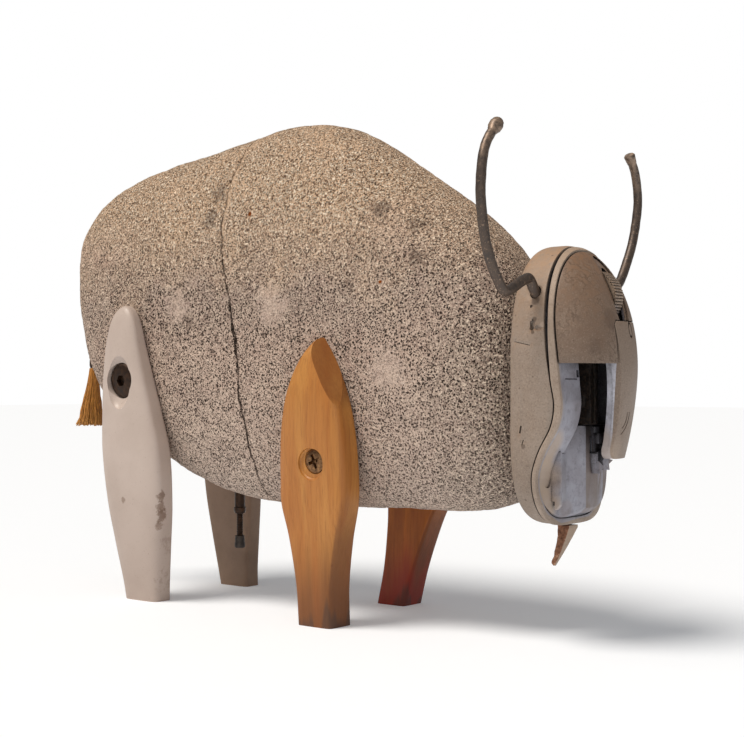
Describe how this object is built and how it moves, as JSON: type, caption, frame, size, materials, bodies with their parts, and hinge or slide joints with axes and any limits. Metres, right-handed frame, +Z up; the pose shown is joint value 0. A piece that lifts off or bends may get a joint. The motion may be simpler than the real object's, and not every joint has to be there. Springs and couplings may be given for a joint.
{
  "type": "stone bull sculpture",
  "caption": "Small bull made of found things: a foamed stone body on shaped wood and plastic legs, with a broken hand-held case as head, bent rod horns and a brush tail.",
  "frame": {"origin": "middle of the footprint of the whole figure, on the ground", "axes": "+X forward through the head, +Y to the bull's left, +Z up"},
  "size_m": [0.352, 0.134, 0.2411],
  "materials": {
    "stone": "matt, full of small pores, dusty",
    "pale_wood": "worn satin varnish",
    "red_wood": "worn satin, stained red at the foot",
    "white_plastic": "smooth, yellowed, scuffed",
    "grey_plastic": "dull, dirty",
    "case_beige": "fine spark texture, dusty",
    "case_grey": "smooth, bluish",
    "dark_plastic": "greasy, dirty",
    "steel_screw": "tarnished",
    "bronzed_steel": "brown bronzed, worn at the edges",
    "horn_metal": "dark, rubbed lighter near the tips",
    "rusty_steel": "rough rust",
    "bristle": "stiff natural bristle"
  },
  "bodies": {
    "root": {"stone_body": "stone", "front_right_leg": "pale_wood", "front_left_leg": "red_wood", "rear_right_leg": "white_plastic", "tail_peg": "white_plastic", "rear_left_leg": "grey_plastic", "head_shell": "case_beige", "head_band": "case_beige", "head_cover": "case_beige", "head_button": "case_beige", "head_tray": "case_grey", "head_wheel": "case_grey", "head_rail": "dark_plastic", "belly_bolt_sleeve": "dark_plastic", "front_right_screw": "steel_screw", "front_left_screw": "steel_screw", "rear_right_bolt": "bronzed_steel", "rear_left_bolt": "bronzed_steel", "belly_bolt": "bronzed_steel", "tail_ferrule": "bronzed_steel", "right_horn": "horn_metal", "left_horn": "horn_metal", "chin_spike": "rusty_steel", "tail_bristles": "bristle"}
  },
  "joints": []
}
